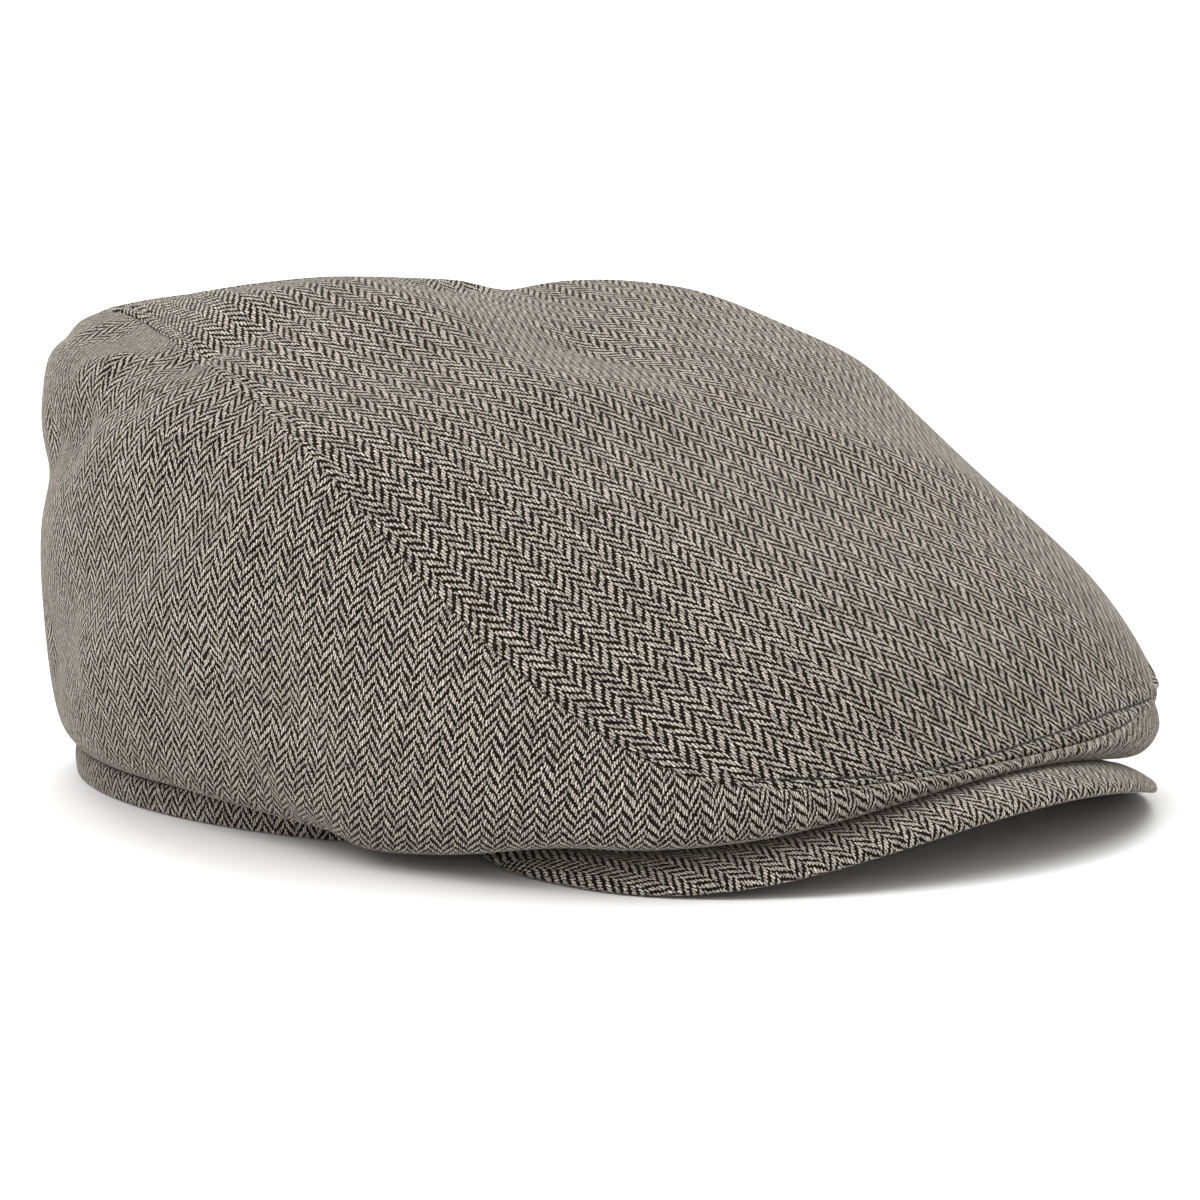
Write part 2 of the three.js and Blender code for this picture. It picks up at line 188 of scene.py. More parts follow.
def column(name, turn):
    """A column of the sections at any turn, as one smooth curve."""
    turns, values = sections["turn"], sections[name]
    row = np.clip(np.searchsorted(turns, turn, side="left") - 1, 0, len(turns) - 2)
    slopes = np.zeros(len(turns))
    slopes[1:-1] = (values[2:] - values[:-2]) / (turns[2:] - turns[:-2])
    span = turns[row + 1] - turns[row]
    share = (turn - turns[row]) / span
    bend = (slopes[row] * span * share * (1 - share) ** 2
            - slopes[row + 1] * span * share ** 2 * (1 - share))
    return values[row] + (values[row + 1] - values[row]) * share ** 2 * (3 - 2 * share) + bend


def opening(side, turn):
    """A place on the edge of the head opening, and the direction square out from it."""
    angle = np.radians(turn)
    at = np.stack([side * np.sin(angle) * head_width / 2,
                   np.cos(angle) * head_length / 2, 0 * angle], -1)
    out = at / np.array([head_width ** 2, head_length ** 2, 1])
    return at, out / np.linalg.norm(out, axis=-1, keepdims=True)


def crown_reach(turn):
    """How far the crown stands out beyond the head opening, found by halving."""
    at, out = opening(left, turn)
    near, far = np.zeros_like(turn), np.full_like(turn, lip_reach)
    for _ in range(40):
        reach = (near + far) / 2
        place = at + out * reach[..., None]
        sideways = np.abs(place[..., 0]) / (crown_width / 2)
        forward = -place[..., 1] - widest_forward
        ahead = forward > 0
        depth = np.where(ahead, lip_reach - widest_forward, crown_back + widest_forward)
        roundness = np.where(ahead, front_roundness, side_roundness)
        inside = sideways ** roundness + (np.abs(forward) / depth) ** roundness < 1
        near, far = np.where(inside, reach, near), np.where(inside, far, reach)
    return near


def arch_height(x):
    """How high the underside of the arched peak lies over the floor."""
    foot = (peak_width - peak_thickness) / 2
    return peak_arch * np.maximum(0, 1 - (x / foot) ** 2) ** arch_flare


def band_bottom(turn):
    share = np.clip((turn - arch_start) / (arch_full - arch_start), 0, 1)
    return arch_height(opening(left, turn)[0][..., 0]) * share ** 2 * (3 - 2 * share)


def smooth_curve(knots, share):
    """Points on the smooth curve through a row of knots; share runs from 0 to 1 along it."""
    first = 2 * knots[..., :1, :] - knots[..., 1:2, :]
    end = 2 * knots[..., -1:, :] - knots[..., -2:-1, :]
    knots = np.concatenate([first, knots, end], -2)
    step = np.linalg.norm(np.diff(knots, axis=-2), axis=-1) ** 0.5
    place = share * (knots.shape[-2] - 3)
    piece = np.clip(place.astype(int), 0, knots.shape[-2] - 4)
    rest = (place - piece)[..., None]
    x0, x1, x2, x3 = (np.take_along_axis(knots, (piece + k)[..., None], -2) for k in range(4))
    d0, d1, d2 = (np.take_along_axis(step, piece + k, -1)[..., None] for k in range(3))
    leave = (x1 - x0) / d0 - (x2 - x0) / (d0 + d1) + (x2 - x1) / d1
    arrive = (x2 - x1) / d1 - (x3 - x1) / (d1 + d2) + (x3 - x2) / d2
    leave, arrive = leave * d1, arrive * d1
    return (x1 + leave * rest + (3 * (x2 - x1) - 2 * leave - arrive) * rest ** 2
            + (2 * (x1 - x2) + leave + arrive) * rest ** 3)


def fold_press(x, y, path, half_width, depth):
    """How deep a fold presses in: a soft trough along a path, or a ridge where depth is below 0."""
    off = np.full(np.broadcast(x, y).shape, 1e9)
    for (from_x, from_y), (to_x, to_y) in zip(path, path[1:]):
        run_x, run_y = to_x - from_x, to_y - from_y
        along = (x - from_x) * run_x + (y - from_y) * run_y
        nearest = np.clip(along / (run_x ** 2 + run_y ** 2), 0, 1)
        off = np.minimum(off, np.hypot(x - from_x - run_x * nearest, y - from_y - run_y * nearest))
    return depth * np.exp(-(off / half_width) ** 2)


def side_point(side, turn, up):
    """The outer face of a side panel, up from the band at 0 to the top seam at 1."""
    at, out = opening(side, turn)
    reach = crown_reach(turn)
    lip = peak_arch + peak_thickness + 2 * (cloth + seam_gap) + lip_ease
    seam_height = lip + (crown_height - lip) * column("seam_up", turn)

    def place(inset, height):
        point = at + out * (reach - inset * top_wrap)[..., None]
        point[..., 2] = height
        return point

    hem = at.copy()
    hem[..., 2] = band_bottom(turn) + band_height + seam_gap
    tuck = place(column("tuck_in", turn), column("tuck_up", turn) * crown_height)
    tuck[..., 2] += column("over_peak", turn) * (
        arch_height(tuck[..., 0]) + peak_thickness + seam_gap)
    knots = np.stack([
        hem, tuck, place(np.zeros_like(turn), column("belly_up", turn) * seam_height),
        place(column("shoulder_in", turn), column("shoulder_up", turn) * seam_height),
        place(column("seam_in", turn), seam_height)], -2)
    point = smooth_curve(knots, up)
    tiny = 1e-3
    tangent = (smooth_curve(knots, np.minimum(up + tiny, 1))
               - smooth_curve(knots, np.maximum(up - tiny, 0)))
    tangent /= np.linalg.norm(tangent, axis=-1, keepdims=True)
    square = out[..., None, :] * tangent[..., 2:3]
    square[..., 2] = -(tangent * out[..., None, :]).sum(-1)
    degree = math.pi * (head_width + head_length) / 2 / 360
    for fold_side, path, half_width, depth in side_folds:
        if fold_side == side:
            path = [(at_turn * degree, at_up * crown_height) for at_turn, at_up in path]
            press = fold_press(turn[..., None] * degree, up * crown_height, path,
                               half_width, depth)
            point = point - square * press[..., None]
    return point


def crowded(steps, crowding):
    """Shares from 0 to 1 that lie closer together towards both ends."""
    return 0.5 + 0.5 * np.tanh(crowding * np.linspace(-1, 1, steps + 1)) / math.tanh(crowding)


def facing(points):
    """The direction square out of a grid of points."""
    onward, over = np.gradient(points, axis=0), np.gradient(points, axis=1)
    square = np.cross(onward, over)
    return square / np.maximum(np.linalg.norm(square, axis=-1, keepdims=True), 1e-9)


def laid_flat(points):
    """The shape a panel was cut to: its grid of points pressed flat with the least strain."""
    rows, columns = points.shape[:2]
    index = np.arange(rows * columns).reshape(rows, columns)
    a, b, c, d = (index[:-1, :-1], index[1:, :-1], index[1:, 1:], index[:-1, 1:])
    halves = np.concatenate([np.stack(three, -1).reshape(-1, 3)
                             for three in ((a, b, c), (a, c, d))])
    corner = points.reshape(-1, 3)[halves]
    first, second = corner[:, 1] - corner[:, 0], corner[:, 2] - corner[:, 0]
    long = np.linalg.norm(first, axis=1)
    own = np.zeros((len(halves), 3, 2))
    own[:, 1, 0] = long
    own[:, 2, 0] = (first * second).sum(1) / long
    own[:, 2, 1] = np.linalg.norm(np.cross(first, second), axis=1) / long
    stiff = np.zeros((len(points.reshape(-1, 3)),) * 2)
    pulls = []
    for k in range(3):
        i, j, o = halves[:, k], halves[:, (k + 1) % 3], (k + 2) % 3
        p, q = own[:, k] - own[:, o], own[:, (k + 1) % 3] - own[:, o]
        weight = np.maximum((p * q).sum(1) / np.abs(p[:, 0] * q[:, 1] - p[:, 1] * q[:, 0]), 0.01)
        np.add.at(stiff, (i, j), -weight)
        np.add.at(stiff, (j, i), -weight)
        np.add.at(stiff, (i, i), weight)
        np.add.at(stiff, (j, j), weight)
        pulls.append((i, j, weight[:, None], own[:, k] - own[:, (k + 1) % 3]))
    stiff[0, 0] += 1
    loosened = np.linalg.inv(stiff)
    onward = np.linalg.norm(np.diff(points, axis=0), axis=-1).mean(1)
    over = np.linalg.norm(np.diff(points, axis=1), axis=-1).mean(0)
    flat = np.stack(np.meshgrid(np.r_[0, np.cumsum(onward)], np.r_[0, np.cumsum(over)],
                                indexing="ij"), -1).reshape(-1, 2)
    for _ in range(60):
        turn_sin = turn_cos = 0
        for i, j, weight, own_run in pulls:
            run = (flat[i] - flat[j]) * weight
            turn_cos = turn_cos + (run * own_run).sum(1)
            turn_sin = turn_sin + run[:, 1] * own_run[:, 0] - run[:, 0] * own_run[:, 1]
        size = np.hypot(turn_cos, turn_sin)
        turn_cos, turn_sin = turn_cos / size, turn_sin / size
        pull = np.zeros_like(flat)
        for i, j, weight, own_run in pulls:
            wanted = weight * np.stack([turn_cos * own_run[:, 0] - turn_sin * own_run[:, 1],
                                        turn_sin * own_run[:, 0] + turn_cos * own_run[:, 1]], -1)
            np.add.at(pull, i, wanted)
            np.add.at(pull, j, -wanted)
        flat = loosened @ pull
    return flat.reshape(rows, columns, 2)


def along_grain(flat, at, grain):
    """Turns and moves a flat cut so that one place is its origin and one direction runs up."""
    up = grain / np.linalg.norm(grain)
    across = np.array([up[1], -up[0]])
    moved = flat - at
    return np.stack([moved @ across, moved @ up], -1)


def read_between(grid, rows, columns):
    """A coarse grid of values read at fractional rows and columns."""
    i = np.clip(rows.astype(int), 0, grid.shape[0] - 2)
    j = np.clip(columns.astype(int), 0, grid.shape[1] - 2)
    s, t = (rows - i)[..., None], (columns - j)[..., None]
    return ((grid[i, j] * (1 - t) + grid[i, j + 1] * t) * (1 - s)
            + (grid[i + 1, j] * (1 - t) + grid[i + 1, j + 1] * t) * s)


def sewn_piece(name, outer, inner, cut, sink, material, round_it=False, inner_cut=None):
    """One closed piece of cloth between an outer and an inner grid of points in millimetres."""
    rows, columns = outer.shape[:2]
    count = rows * columns
    seam_shade_starts, seam_shade_full = 0.7, 1.0
    index = np.arange(count).reshape(rows, columns)
    if round_it:
        index = np.concatenate([index, index[:1]])
    a, b, c, d = (index[:-1, :-1], index[1:, :-1], index[1:, 1:], index[:-1, 1:])
    faces = [np.stack([a, b, c, d], -1).reshape(-1, 4),
             np.stack([a, d, c, b], -1).reshape(-1, 4) + count]
    rims = [index[:, -1], index[::-1, 0]]
    if not round_it:
        rims += [index[0, :], index[-1, ::-1]]
    for rim in rims:
        faces.append(np.stack([rim[:-1], rim[1:], rim[1:] + count, rim[:-1] + count], -1))
    faces = np.concatenate(faces)
    points = np.concatenate([outer.reshape(-1, 3), inner.reshape(-1, 3)]) * mm
    points += np.array(opening_middle)
    mesh = bpy.data.meshes.new(name)
    mesh.from_pydata(points.tolist(), [], faces.tolist())
    mesh.polygons.foreach_set("use_smooth", np.ones(len(faces), bool))
    inner_cut = cut if inner_cut is None else inner_cut
    flat = np.concatenate([cut.reshape(-1, 2), inner_cut.reshape(-1, 2)])
    corners = np.zeros(len(mesh.loops), int)
    mesh.loops.foreach_get("vertex_index", corners)
    mesh.uv_layers.new(name="cut").uv.foreach_set("vector", flat[corners].ravel())
    # painted shade and thread: the deeper the cloth sinks into a seam, the more its colour is
    # turned to black-brown
    deep = np.broadcast_to(sink, outer.shape[:2]).ravel() - seam_shade_starts
    deep = np.clip(deep / (seam_shade_full - seam_shade_starts), 0, 1)
    mesh.attributes.new("seam_shade_and_thread", "FLOAT", "POINT").data.foreach_set(
        "value", np.concatenate([deep, deep]).astype(np.float32))
    mesh.materials.append(material)
    mesh.validate()
    piece = bpy.data.objects.new(name, mesh)
    bpy.context.scene.collection.objects.link(piece)
    return piece


# the weave's sizes are in mm
rib_threads = 6
warp_pitch = 0.487
weft_pitch = 0.62
cream = (0.56, 0.508, 0.435)
cream_grey = (0.29, 0.262, 0.228)
black_brown = (0.006, 0.0038, 0.0025)


def tweed_cloth(name):
    material = bpy.data.materials.new(name)
    material.use_nodes = True
    tree = material.node_tree
    tree.nodes.clear()

    def node(kind, **settings):
        made = tree.nodes.new(kind)
        for key, value in settings.items():
            setattr(made, key, value)
        return made

    def feed(socket, value):
        if isinstance(value, bpy.types.NodeSocket):
            tree.links.new(value, socket)
        else:
            socket.default_value = value

    def maths(operation, *values):
        made = node("ShaderNodeMath", operation=operation)
        for socket, value in zip(made.inputs, values):
            feed(socket, value)
        return made.outputs[0]

    def noise(place, scale, detail=2.0, roughness=0.5):
        made = node("ShaderNodeTexNoise")
        feed(made.inputs["Vector"], place)
        feed(made.inputs["Scale"], scale)
        feed(made.inputs["Detail"], detail)
        feed(made.inputs["Roughness"], roughness)
        return made.outputs[0]

    def vector(x, y, z=0.0):
        made = node("ShaderNodeCombineXYZ")
        for socket, value in zip(made.inputs, (x, y, z)):
            feed(socket, value)
        return made.outputs[0]

    def blend(share, one, other, kind="MIX"):
        made = node("ShaderNodeMix", data_type="RGBA", blend_type=kind)
        feed(made.inputs[0], share)
        feed(made.inputs[6], one)
        feed(made.inputs[7], other)
        return made.outputs[2]

    cut = node("ShaderNodeUVMap", uv_map="cut").outputs[0]
    place = node("ShaderNodeSeparateXYZ")
    feed(place.inputs[0], cut)
    # the cloth is never quite even: the yarns wander a little
    wander = maths("MULTIPLY", maths("SUBTRACT", noise(cut, 0.08, 3.0), 0.5), 0.9)
    wander_too = maths("MULTIPLY", maths("SUBTRACT",
                       noise(vector(place.outputs[1], place.outputs[0], 7.0), 0.07, 3.0), 0.5), 0.9)
    jitter = maths("MULTIPLY", maths("SUBTRACT", noise(cut, 1.1, 2.0), 0.5), 0.9)
    jitter_too = maths("MULTIPLY", maths("SUBTRACT",
                       noise(vector(place.outputs[1], place.outputs[0], 3.0), 0.9, 2.0), 0.5), 1.3)
    across = maths("ADD", maths("ADD", place.outputs[0], wander), jitter)
    along = maths("ADD", maths("ADD", place.outputs[1], wander_too), jitter_too)

    # each warp thread is shifted by one weft, up over one rib and down over the next, and where
    # the ribs meet the shift jumps by half a repeat, which breaks the zigzag
    warp = maths("DIVIDE", across, warp_pitch)
    thread = maths("FLOOR", warp)
    in_thread = maths("FRACT", warp)
    rib = maths("FLOOR", maths("DIVIDE", warp, rib_threads))
    shift = maths("ADD", maths("PINGPONG", maths("ADD", thread, 0.5), rib_threads),
                  maths("MULTIPLY", rib, 2.0))
    weft = maths("DIVIDE", along, weft_pitch)
    lift = maths("DIVIDE", maths("ADD", weft, shift), 4.0)
    float_number = maths("FLOOR", lift)
    in_float = maths("FRACT", lift)
    # 1 where the cream warp lies over two wefts, 0 where it lies under two
    softness = node("ShaderNodeMapRange", interpolation_type="SMOOTHSTEP")
    from_middle = maths("ABSOLUTE", maths("SUBTRACT", in_float, 0.5))
    from_spine = maths("ABSOLUTE", maths("SUBTRACT", in_thread, 0.5))
    tapered = maths("MULTIPLY", maths("POWER", from_spine, 2.0), 0.5)
    feed(softness.inputs["Value"], maths("ADD", from_middle, tapered))
    feed(softness.inputs["From Min"], 0.31)
    feed(softness.inputs["From Max"], 0.25)
    over = softness.outputs[0]

    # each thread is round, and each float swells in its middle
    thread_round = maths("SINE", maths("MULTIPLY", in_thread, math.pi))
    float_round = maths("COSINE", maths("MULTIPLY", maths("SUBTRACT", in_float, 0.5), 4.6))
    weft_round = maths("SINE", maths("MULTIPLY", maths("FRACT", weft), math.pi))
    warp_height = maths("MULTIPLY", maths("POWER", maths("MAXIMUM", thread_round, 0.0), 0.6),
                        maths("MAXIMUM", float_round, 0.0))
    height = maths("ADD", maths("MULTIPLY", over, warp_height),
                   maths("MULTIPLY", maths("SUBTRACT", 1.0, over),
                         maths("MULTIPLY", weft_round, 0.25)))

    # every float of yarn has its own tone, and the wool's hairs mottle it; each warp thread also
    # gets painted shade towards its edges and in the gaps between threads
    own = node("ShaderNodeTexWhiteNoise", noise_dimensions="3D")
    feed(own.inputs["Vector"], vector(thread, float_number, 3.0))
    hairs = noise(vector(maths("MULTIPLY", across, 2.0), along), 2.4, 3.0, 0.7)
    patches = noise(cut, 0.035, 3.0, 0.6)
    yarn = blend(maths("POWER", own.outputs[0], 1.5), (*cream, 1), (*cream_grey, 1))
    # painted shade: darker towards each thread's edges and in the gaps between threads, then
    # mottled by the hairs
    thread_shade_and_mottle = maths("ADD", 0.12, maths("MULTIPLY", maths("POWER", thread_round, 1.6), 1.15))
    thread_shade_and_mottle = maths("MULTIPLY", thread_shade_and_mottle, maths("ADD", 0.45, maths("MULTIPLY", hairs, 1.05)))
    yarn = blend(1.0, yarn, vector(thread_shade_and_mottle, thread_shade_and_mottle, thread_shade_and_mottle), "MULTIPLY")
    stray = maths("MULTIPLY", maths("POWER", hairs, 4.0), 0.3)
    ground = blend(stray, (*black_brown, 1), (*cream_grey, 1))
    colour = blend(over, ground, yarn)
    tone = maths("ADD", 0.86, maths("MULTIPLY", patches, 0.28))
    colour = blend(1.0, colour, vector(tone, tone, tone), "MULTIPLY")
    # down in a seam the colour is turned to black-brown: partly the dark turned edges and sewing
    # thread, partly painted shade in the groove
    seam_shade_and_thread = node("ShaderNodeAttribute", attribute_name="seam_shade_and_thread")
    colour = blend(seam_shade_and_thread.outputs["Fac"], colour, (*black_brown, 1))

    bump = node("ShaderNodeBump")
    feed(bump.inputs["Strength"], 0.8)
    feed(bump.inputs["Distance"], 0.00022)
    feed(bump.inputs["Height"], maths("ADD", height, maths("MULTIPLY", hairs, 0.5)))

    wool = node("ShaderNodeBsdfPrincipled")
    feed(wool.inputs["Base Color"], colour)
    feed(wool.inputs["Roughness"], 0.92)
    feed(wool.inputs["Specular IOR Level"], 0.04)
    feed(wool.inputs["Sheen Weight"], 0.4)
    feed(wool.inputs["Sheen Roughness"], 0.22)
    feed(wool.inputs["Sheen Tint"], (0.95, 0.84, 0.74, 1))
    feed(wool.inputs["Normal"], bump.outputs[0])
    output = node("ShaderNodeOutputMaterial")
    feed(output.inputs["Surface"], wool.outputs[0])
    return material


tweed = tweed_cloth("tweed")

# how far from a seam the cloth starts to roll down, mm
seam_roll = 1.1
# the flat cut is worked out on every fifth row and column of a panel's grid
skip = 5
side_turns = np.concatenate([np.linspace(0, back_corner, 31)[:-1],
                             np.linspace(back_corner, front_corner, 211)[:-1],
                             np.linspace(front_corner, 180, 61)])
# the ribs run straight up at this turn, and bend towards the hem
grain_turn = 75
rib_bend = 0.006
# each side panel ends this far from the middle plane, mm
middle_gap = 0.05


def rolled_edge(distance):
    """How far cloth sinks towards a seam that lies this far away."""
    near = np.clip(1 - distance / seam_roll, 0, 1)
    return seam_roll * (1 - np.sqrt(1 - near ** 2))


def side_panel(side, name):
    up = crowded(110, 1.5)
    outer = side_point(side, side_turns, np.broadcast_to(up, (len(side_turns), len(up))))
    flat = laid_flat(outer[::skip, ::skip])
    row = np.searchsorted(side_turns, grain_turn) // skip
    low, high = flat[row, 7], flat[row, 15]
    cut = along_grain(flat, (low + high) / 2, high - low)
    cut[..., 0] += rib_bend * np.minimum(cut[..., 1], 0) ** 2
    if side == left:
        cut[..., 0] *= -1
    cut = read_between(cut, *np.indices(outer.shape[:2]) / skip)
    if side == left:
        outer, cut = outer[::-1], cut[::-1]
    square = facing(outer)
    run = np.linalg.norm(np.diff(outer, axis=1), axis=-1)
    run = np.concatenate([np.zeros((len(outer), 1)), np.cumsum(run, 1)], 1)
    sink = rolled_edge(run[:, -1:] - run) + rolled_edge(run)
    inner = outer - square * np.maximum(cloth, sink + 0.3)[..., None]
    outer = outer - square * sink[..., None]
    for grid in (outer, inner):
        grid[[0, -1], :, 0] = side * middle_gap
    piece = sewn_piece(name, outer, inner, cut, sink, tweed)
    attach(piece, "root")
    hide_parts(name)


for side, name in ((right, "side_panel_right"), (left, "side_panel_left")):
    side_panel(side, name)

# The top panel is one piece of the same cloth, with its ribs running from back to front. It is
# set into the edge of the side panels, and its own edge is turned under and stitched down, so a
# low welt runs beside the seam. Its weave shows coarser than that of the sides.
# each fold: its path across and ahead, half width mm, depth mm
top_folds = [
    (((.6, -.27), (.14, .1)), 15.6, 2.6),
    (((.14, .1), (.08, .36)), 12, 1.5),
    (((.11, -.31), (-.10, -.08), (-.21, .12), (-.24, .29), (.0, .36), (.14, .40), (.31, .51),
      (.66, .59)), 15, -2.2),
    (((-.42, -.26), (-.22, -.18)), 32, -8),
]
fold_fade = 0.17
# how much the weave is drawn out across and along its ribs
drawn_out = np.array([1.24, 1.10])
front_bend = 0.004
# the furrow along the stitched line, mm
furrow_depth = 0.5
furrow_width = 0.7
# how far the stitched line lies inside the seam along the front edge: across, mm
front_welt = np.array([(-.93, 1.2), (-.82, 1.9), (-.70, 2.4), (-.50, 1.6), (-.30, 1.5), (-.10, 2.0),
                       (.15, 3.2), (.34, 4.0), (.52, 3.9), (.65, 2.8), (.75, 1.6), (.82, .7)])
side_welt = 3.0
# the turned edge at the left front corner: how far it stands out and spreads, mm, where it lies
# across, and the share of the rolled edge that it takes back
corner_stand = 1.1
corner_spread = 7
corner_across = 0.94
corner_lift = 0.35


def top_point(across, along):
    """The outer face of the top panel: across -1 to 1, along 0 at the back to 1 at the lip."""
    turns = np.linspace(0, 180, 1801)
    seams = {side: side_point(side, turns, np.ones((len(turns), 1)))[:, 0]
             for side in (right, left)}

    def seam(side, turn):
        return np.stack([np.interp(turn, turns, seams[side][:, k]) for k in range(3)], -1)

    wide = np.abs(across)
    behind = np.where((across < 0)[..., None], seam(right, wide * back_corner),
                      seam(left, wide * back_corner))
    front_turn = 180 + (front_corner - 180) * wide
    before = np.where((across < 0)[..., None], seam(right, front_turn), seam(left, front_turn))
    turn = back_corner + (front_corner - back_corner) * along
    point = behind * (1 - along)[..., None] + before * along[..., None]
    for side in (right, left):
        share = ((1 + side * across) / 2)[..., None]
        point += share * (seam(side, turn)
                          - (1 - along)[..., None] * seam(side, np.full_like(turn, back_corner))
                          - along[..., None] * seam(side, np.full_like(turn, front_corner)))
    point[..., 2] += front_swell * column("swell", turn) * (1 - wide ** swell_roundness)
    edge = np.minimum(1, np.minimum((1 - wide) / 2, np.minimum(along, 1 - along)) / fold_fade)
    for path, half_width, depth in top_folds:
        path = [(at_across * crown_width / 2, at_ahead * lip_reach) for at_across, at_ahead in path]
        point[..., 2] -= edge * fold_press(point[..., 0], -point[..., 1], path, half_width, depth)
    return point


def distance_to_seam(points):
    """How far each place on the top panel lies from the seam all round it, in mm."""
    turns = np.linspace(0, 180, 900)
    line = np.concatenate([side_point(side, turns, np.ones((len(turns), 1)))[:, 0]
                           for side in (right, left)])
    flat_points = points.reshape(-1, 3)
    nearest = np.full(len(flat_points), 1e9)
    for start in range(0, len(flat_points), 4000):
        some = flat_points[start:start + 4000]
        gaps = ((some[:, None] - line[None]) ** 2).sum(-1)
        nearest[start:start + 4000] = np.sqrt(gaps.min(1))
    return nearest.reshape(points.shape[:-1])


across, along = np.meshgrid(2 * crowded(170, 1.6) - 1, crowded(210, 1.5))
outer = top_point(across, along)
flat = laid_flat(outer[::skip, ::skip])
cut = along_grain(flat, flat[21, 17], flat[25, 17] - flat[17, 17])
cut /= drawn_out
cut[..., 0] += (front_bend * np.maximum(cut[..., 1] - 85, 0) ** 2
                + rib_bend * np.minimum(cut[..., 1], 0) ** 2)
cut = read_between(cut, *np.indices(outer.shape[:2]) / skip)
square = facing(outer)
off = distance_to_seam(outer)
welt = np.where(along > 0.93, np.interp(across, *front_welt.T), side_welt)
sink = furrow_depth * np.exp(-((off - welt) / furrow_width) ** 2)
sink = rolled_edge(off) + sink * (1 - np.clip((across - 0.8) * 10, 0, 1) * (along < 0.8))
# the turned edge stands out at the left front corner
corner_column = np.searchsorted(across[0], corner_across)
corner = np.linalg.norm(outer - outer[-1, corner_column], axis=-1)
corner = np.exp(-(corner / corner_spread) ** 2) * np.clip((across - 0.90) / 0.03, 0, 1)
sink -= (corner_lift * sink + corner_stand) * corner
inner = outer - square * np.maximum(cloth, sink + 0.3)[..., None]
outer = outer - square * sink[..., None]
top_panel = sewn_piece("top_panel", outer, inner, cut, sink, tweed)
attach(top_panel, "root")
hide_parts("top_panel")

# The top panel's front edge is stitched down to the turnings beneath it in strong black thread,
# in short stitches that almost touch.
stitch_length = 2.6
stitch_gap = 0.15
thread_radius = 0.27


def stitches(name):
    """A row of short bowed threads that follows the stitched line, as one mesh."""
    at_across = np.linspace(-0.84, 0.82, 400)
    at_along = np.linspace(1, 0.93, 300)[:, None] + 0 * at_across
    columns = np.interp(at_across, across[0], np.arange(across.shape[1])) + 0 * at_along
    rows = np.interp(at_along, along[:, 0], np.arange(along.shape[0]))
    distance = read_between(off[..., None], rows, columns)[..., 0]
    inside = np.argmax(distance > np.interp(at_across, *front_welt.T), axis=0)
    pick = (inside, np.arange(len(at_across)))
    line = read_between(outer, rows[pick], columns[pick])
    away = read_between(square, rows[pick], columns[pick])
    run = np.r_[0, np.cumsum(np.linalg.norm(np.diff(line, axis=0), axis=1))]
    points, faces = [], []
    sides = np.radians(np.arange(6) * 60)
    for start in np.arange(0, run[-1] - stitch_length, stitch_length + stitch_gap):
        steps = np.linspace(0, 1, 7)
        here = start + steps * stitch_length
        middle = np.stack([np.interp(here, run, line[:, k]) for k in range(3)], -1)
        out = np.stack([np.interp(here, run, away[:, k]) for k in range(3)], -1)
        out /= np.linalg.norm(out, axis=1, keepdims=True)
        onward = np.gradient(middle, axis=0)
        onward /= np.linalg.norm(onward, axis=1, keepdims=True)
        beside = np.cross(onward, out)
        bow = np.sin(math.pi * steps)
        radius = thread_radius * (0.55 + 0.45 * bow ** 0.5)
        middle = middle + out * (0.16 * bow - 0.06)[:, None]
        ring = (middle[:, None] + radius[:, None, None] * (
            np.cos(sides)[None, :, None] * beside[:, None]
            + np.sin(sides)[None, :, None] * out[:, None]))
        first = len(points) * 42
        points.append(ring.reshape(-1, 3))
        for k in range(6):
            for j in range(6):
                a, b = first + k * 6 + j, first + k * 6 + (j + 1) % 6
                faces.append((a, b, b + 6, a + 6))
        faces += [tuple(first + j for j in range(5, -1, -1)),
                  tuple(first + 36 + j for j in range(6))]
    mesh = bpy.data.meshes.new(name)
    mesh.from_pydata((np.concatenate(points) * mm + np.array(opening_middle)).tolist(), [], faces)
    mesh.polygons.foreach_set("use_smooth", np.ones(len(faces), bool))
    mesh.materials.append(black_thread)
    piece = bpy.data.objects.new(name, mesh)
    bpy.context.scene.collection.objects.link(piece)
    return piece


black_thread = bpy.data.materials.new("black_thread")
black_thread.use_nodes = True
nodes, links = black_thread.node_tree.nodes, black_thread.node_tree.links
shader = nodes["Principled BSDF"]
shader.inputs["Roughness"].default_value = 0.6
shader.inputs["Sheen Weight"].default_value = 0.1
fibres = nodes.new("ShaderNodeTexNoise")
fibres.inputs["Scale"].default_value = 6000
shades = nodes.new("ShaderNodeMapRange")
shades.inputs["To Min"].default_value = 0.002
shades.inputs["To Max"].default_value = 0.009
links.new(fibres.outputs[0], shades.inputs["Value"])
links.new(shades.outputs[0], shader.inputs["Base Color"])
topstitch = stitches("topstitch")
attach(topstitch, "root")

# The peak is a short, stiff board with the same cloth drawn tight over both faces. It is arched
# from side to side, and its inner edge is sewn in between the crown and the band.
peak_reach = 164
peak_widest_forward = 105
peak_wing = 84
peak_start = 125
# the peak thins over its last peak_fall mm to an edge of this share of its thickness, is cut back
# by left_trim mm at its left front, and swells by peak_swell mm away from its inner edge
peak_fall = 9
peak_edge = 0.5
left_trim = 2.5
peak_swell = 1.2


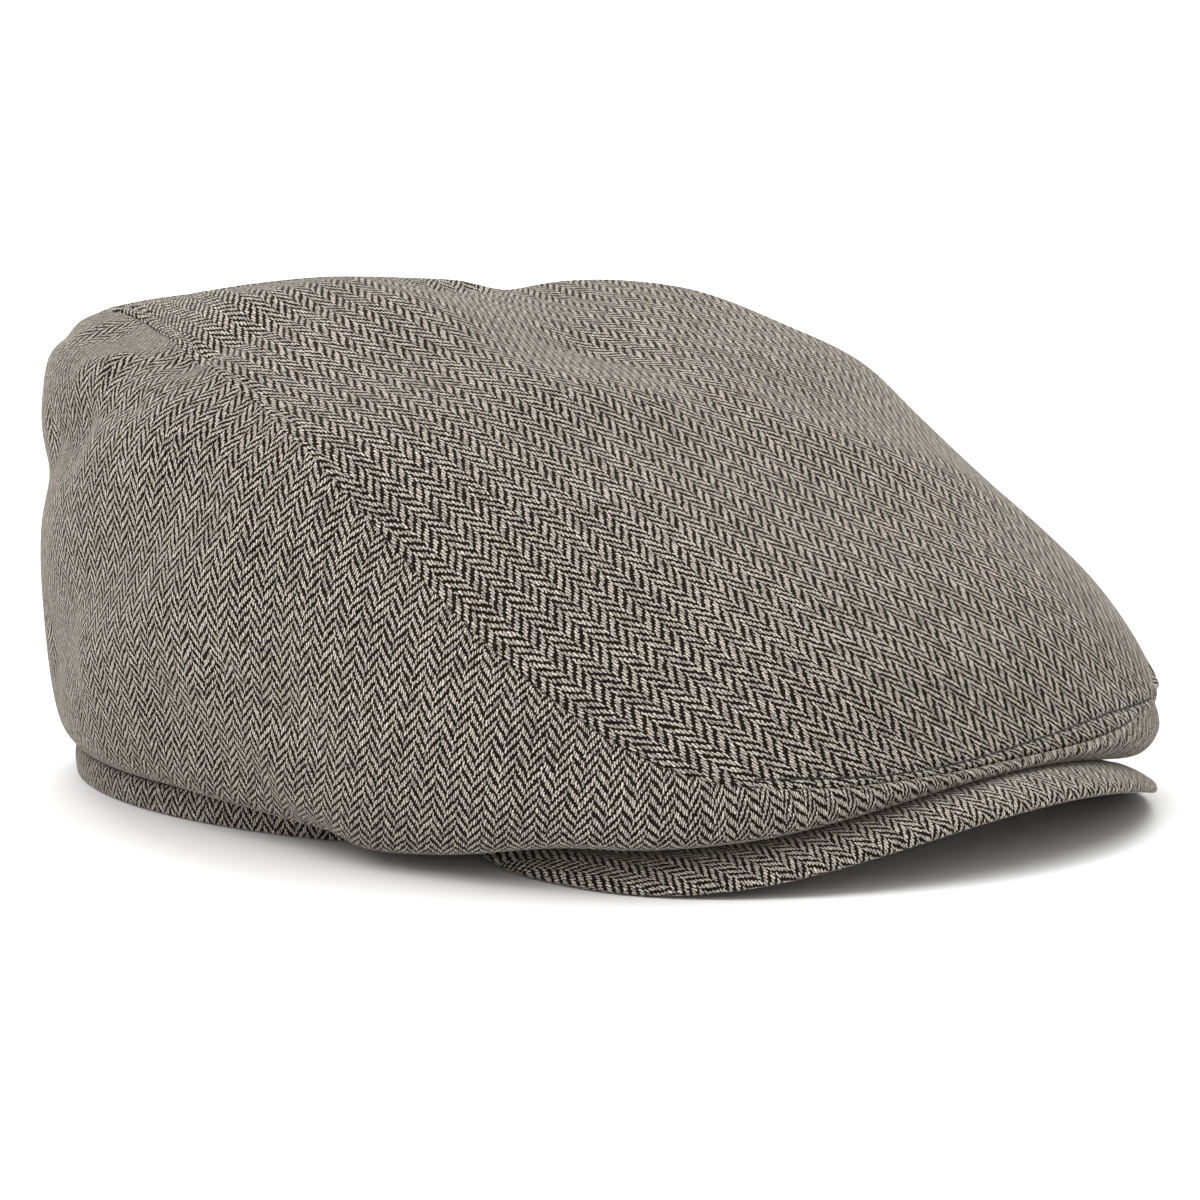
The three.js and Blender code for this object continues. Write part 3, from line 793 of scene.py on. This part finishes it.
def peak_faces():
    """The upper and the lower face of the peak, and the place of each in the weave."""
    radius = peak_thickness / 2
    wing_back = peak_widest_forward + opening(left, np.array(float(peak_start)))[0][1]
    wing_angle = math.asin(wing_back / peak_wing)
    shares = np.linspace(0, 1, 121)
    sides = np.concatenate([np.full(121, right), np.full(120, left)])
    shares = np.concatenate([shares, shares[::-1][1:]])
    at, out = opening(1, peak_start + (180 - peak_start) * shares)
    at[..., 0] *= sides
    out[..., 0] *= sides
    inner = at + out * seam_gap
    angle = -wing_angle + (math.pi / 2 + wing_angle) * shares
    depth = np.where(angle < 0, peak_wing, peak_reach - peak_widest_forward)
    tip = np.stack([sides * np.cos(angle) * peak_width / 2,
                    -peak_widest_forward - np.sin(angle) * depth, 0 * angle], -1)
    run = tip - inner
    length = np.linalg.norm(run, axis=-1, keepdims=True)
    trim = left_trim * np.exp(-((np.degrees(angle) - 38) / 30) ** 2) * (sides == left)
    run, length = run * (1 - trim[:, None] / length), length - trim[:, None]
    edge = radius * peak_edge
    round_edge = np.radians(np.linspace(8, 88, 11))
    reach = np.concatenate([(length - edge) * np.linspace(0, 1, 61),
                            length - edge + edge * np.sin(round_edge)], 1)
    lift = np.concatenate([np.ones(61), np.cos(round_edge)]) * edge
    to_edge = np.clip((length - reach) / peak_fall, 0, 1)
    thick = 2 * radius - 2 * edge
    rise = (thick * (1 - (1 - to_edge) ** 2)
            + peak_swell * to_edge * np.clip((reach - 10) / 10, 0, 1))
    point = inner[:, None] + (run / length)[:, None] * reach[..., None]
    bottom = arch_height(point[..., 0])
    upper, lower = point.copy(), point.copy()
    upper[..., 2] = bottom + edge + rise + lift
    lower[..., 2] = bottom + edge - lift
    over_rim = np.cumsum(np.linalg.norm(np.diff(upper, axis=1, prepend=upper[:, :1]), axis=-1), 1)
    under_rim = 2 * over_rim[:, -1:] - over_rim
    cut, under_cut = (inner[:, None] + (run / length)[:, None] * far[..., None]
                      for far in (over_rim, under_rim))
    return upper, lower, cut[..., :2], under_cut[..., :2]


upper, lower, cut, under_cut = peak_faces()
piece = sewn_piece("peak", lower, upper, under_cut, 0, tweed, inner_cut=cut)
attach(piece, "root")
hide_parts("peak")

# The band is a straight strip of the same cloth, folded double and sewn on around the head
# opening under the side panels. At the front it follows the arch of the peak.
band_bulge = 0.35
band_roll = 0.6
turns = np.linspace(0, 360, 721)[:-1]
sides = np.where(turns <= 180, right, left)
half_turns = np.where(turns <= 180, turns, 360 - turns)
at, out = opening(1, half_turns)
at[..., 0] *= sides
out[..., 0] *= sides
rise = crowded(24, 1.6)
bottom = band_bottom(half_turns)[:, None] + band_height * rise
sink = rolled_edge((1 - rise) * band_height)
bulge = band_bulge * np.sin(math.pi * rise) - band_bulge - band_roll * sink
outer = at[:, None] + out[:, None] * bulge[None, :, None]
outer[..., 2] = bottom
inner = at[:, None] - out[:, None] * band_thickness + 0 * outer
inner[..., 2] = bottom
round_it = np.cumsum(np.r_[0, np.linalg.norm(np.diff(at, axis=0), axis=-1)])
cut = np.stack(np.meshgrid(round_it, rise * band_height, indexing="ij"), -1)
band = sewn_piece("hem_band", outer, inner, cut, sink, tweed, round_it=True)
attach(band, "root")
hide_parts("hem_band")
